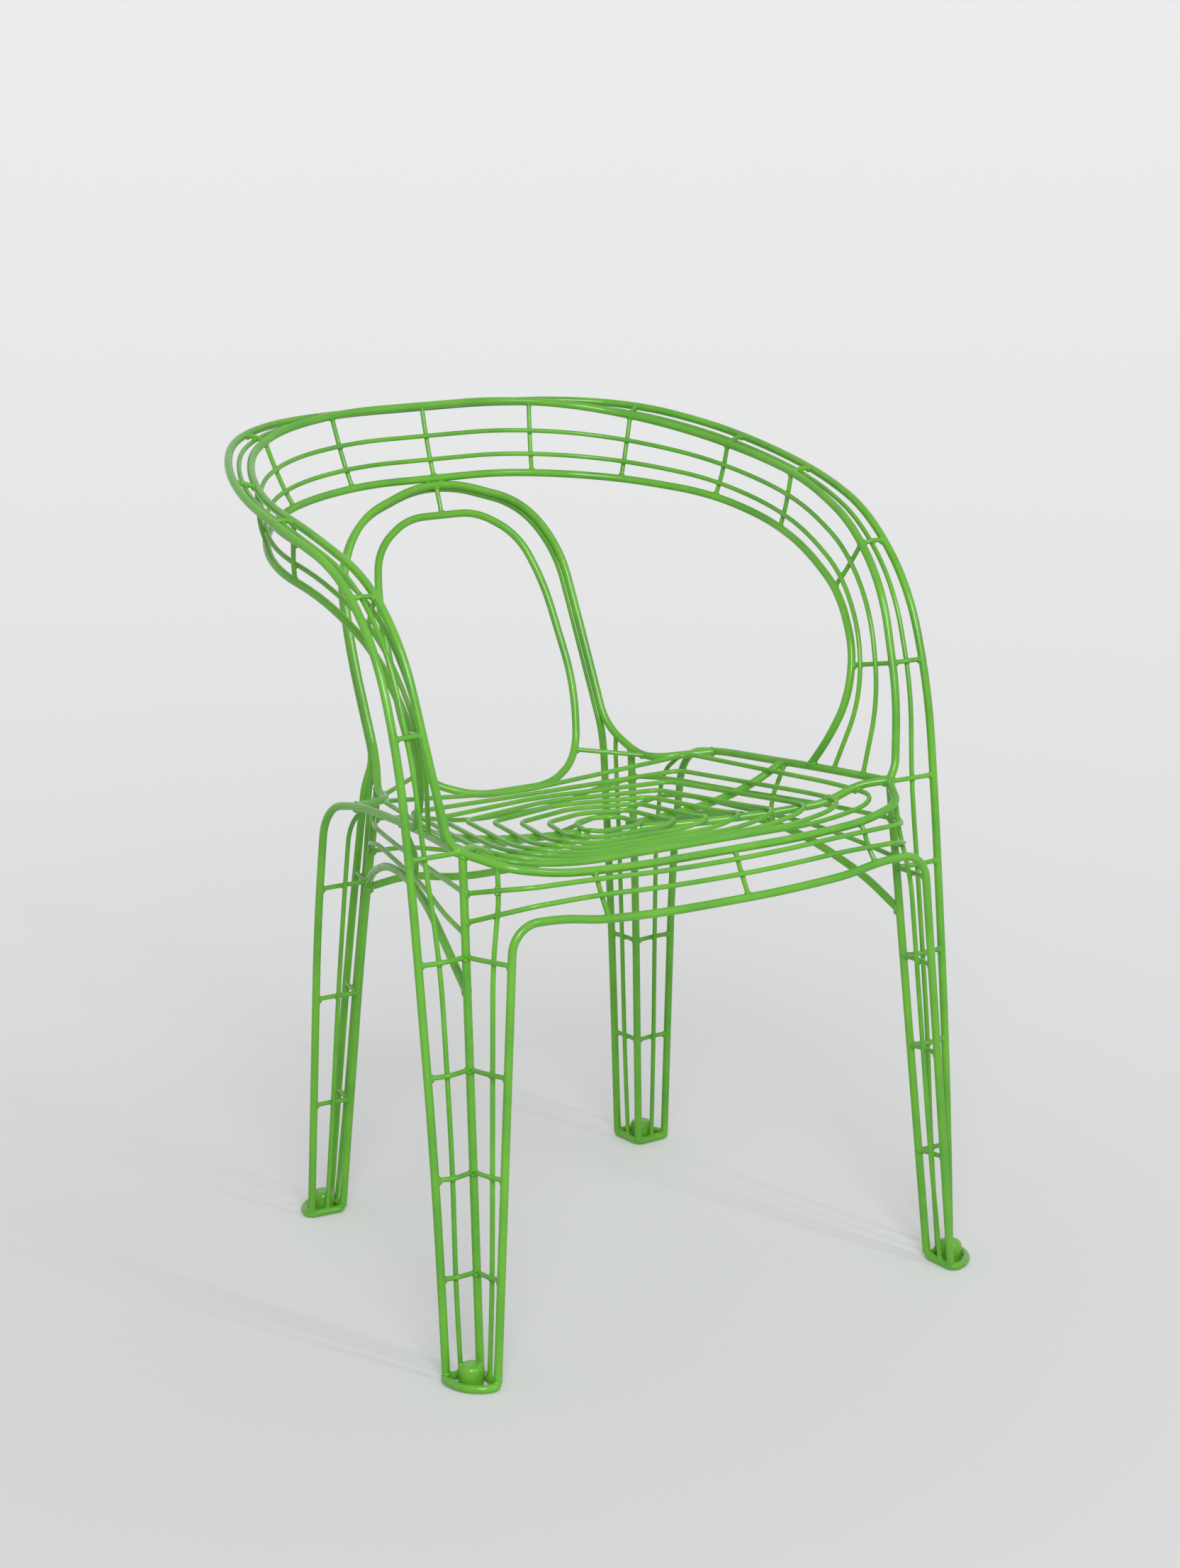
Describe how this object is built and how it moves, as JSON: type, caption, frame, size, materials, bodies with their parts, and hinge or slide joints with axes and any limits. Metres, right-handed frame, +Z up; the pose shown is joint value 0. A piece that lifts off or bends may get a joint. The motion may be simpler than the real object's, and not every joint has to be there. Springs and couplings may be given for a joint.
{
  "type": "wire mesh armchair",
  "caption": "Stackable armchair welded from green painted rod and wire, with a ringed bowl seat, a looped splat and ladder-like legs.",
  "frame": {"origin": "on the floor under the middle of the whole chair", "axes": "+Z up, -Y towards the front of the seat, +X to the right as seen from the front"},
  "size_m": [0.5818, 0.5894, 0.7637],
  "materials": {
    "green_paint": "gloss powder coat",
    "green_plastic": "moulded, satin to gloss"
  },
  "bodies": {
    "root": {"arm_mid_wire": "green_paint", "arm_outer_rail": "green_paint", "back_face_wire_lower": "green_paint", "back_face_wire_upper": "green_paint", "back_lower_rail": "green_paint", "band_rungs": "green_paint", "front_apron_ribs": "green_paint", "front_apron_rod": "green_paint", "front_apron_wire_lower": "green_paint", "front_apron_wire_upper": "green_paint", "front_corner_rod_left": "green_paint", "front_corner_rod_right": "green_paint", "front_foot_plug_left": "green_plastic", "front_foot_plug_right": "green_plastic", "front_foot_ring_left": "green_paint", "front_foot_ring_right": "green_paint", "front_inner_wire_left": "green_paint", "front_inner_wire_right": "green_paint", "front_leg_rungs_left": "green_paint", "front_leg_rungs_right": "green_paint", "front_rim": "green_paint", "rear_apron_rod": "green_paint", "rear_apron_wires": "green_paint", "rear_corner_rod_left": "green_paint", "rear_corner_rod_right": "green_paint", "rear_foot_plug_left": "green_plastic", "rear_foot_plug_right": "green_plastic", "rear_foot_ring_left": "green_paint", "rear_foot_ring_right": "green_paint", "rear_inner_wire_left": "green_paint", "rear_inner_wire_right": "green_paint", "rear_leg_rungs_left": "green_paint", "rear_leg_rungs_right": "green_paint", "rear_outer_wire_left": "green_paint", "rear_outer_wire_right": "green_paint", "ridge_rail": "green_paint", "seat_diagonal_rib_left": "green_paint", "seat_diagonal_rib_right": "green_paint", "seat_ring_1": "green_paint", "seat_ring_2": "green_paint", "seat_ring_3": "green_paint", "seat_ring_4": "green_paint", "seat_ring_5": "green_paint", "seat_ring_6": "green_paint", "seat_ring_7": "green_paint", "seat_ring_8": "green_paint", "seat_side_rib_left": "green_paint", "seat_side_rib_right": "green_paint", "side_apron_ribs": "green_paint", "side_apron_rod_left": "green_paint", "side_apron_rod_right": "green_paint", "side_apron_wires_left": "green_paint", "side_apron_wires_right": "green_paint", "side_rim_left": "green_paint", "side_rim_right": "green_paint", "splat_front_rod": "green_paint", "splat_inner_loop": "green_paint", "splat_links": "green_paint", "splat_rear_rod": "green_paint"}
  },
  "joints": []
}
